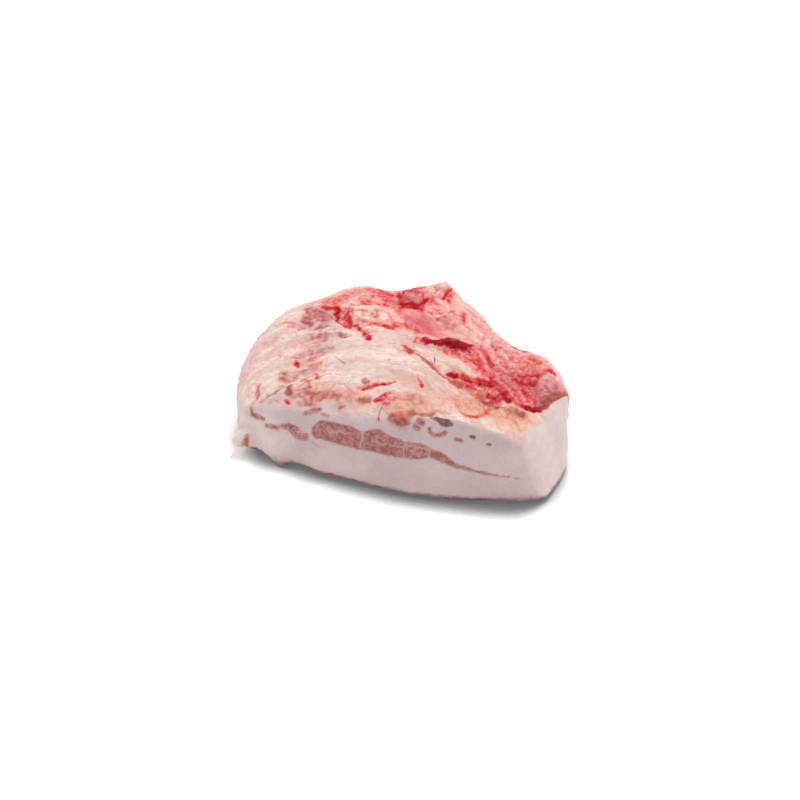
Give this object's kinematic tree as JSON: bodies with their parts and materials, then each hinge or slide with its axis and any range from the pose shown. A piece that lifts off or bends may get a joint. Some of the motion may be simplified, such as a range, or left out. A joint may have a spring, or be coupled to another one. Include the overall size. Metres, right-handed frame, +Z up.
{
  "type": "pork jowl",
  "caption": "Raw pork jowl: a thick slab of fat with a streak of lean in its knife-cut front, and a rough trimmed, bloodstained top. It lies on its flat skin side.",
  "frame": {"origin": "middle of the slab's bounding box, on the plane it rests on", "axes": "+X along the slab's length towards the plain right cut, +Y away from the long front cut, +Z up from the skin side to the trimmed top"},
  "size_m": [0.2362, 0.1684, 0.0634],
  "materials": {
    "pork_fat": "moist raw pork fat, white to cream and pink, with a marbled lean streak in the front cut, bloodstained membrane and a dark clot on the top; soft sheen, slightly translucent"
  },
  "bodies": {
    "root": {"jowl": "pork_fat"}
  },
  "joints": []
}
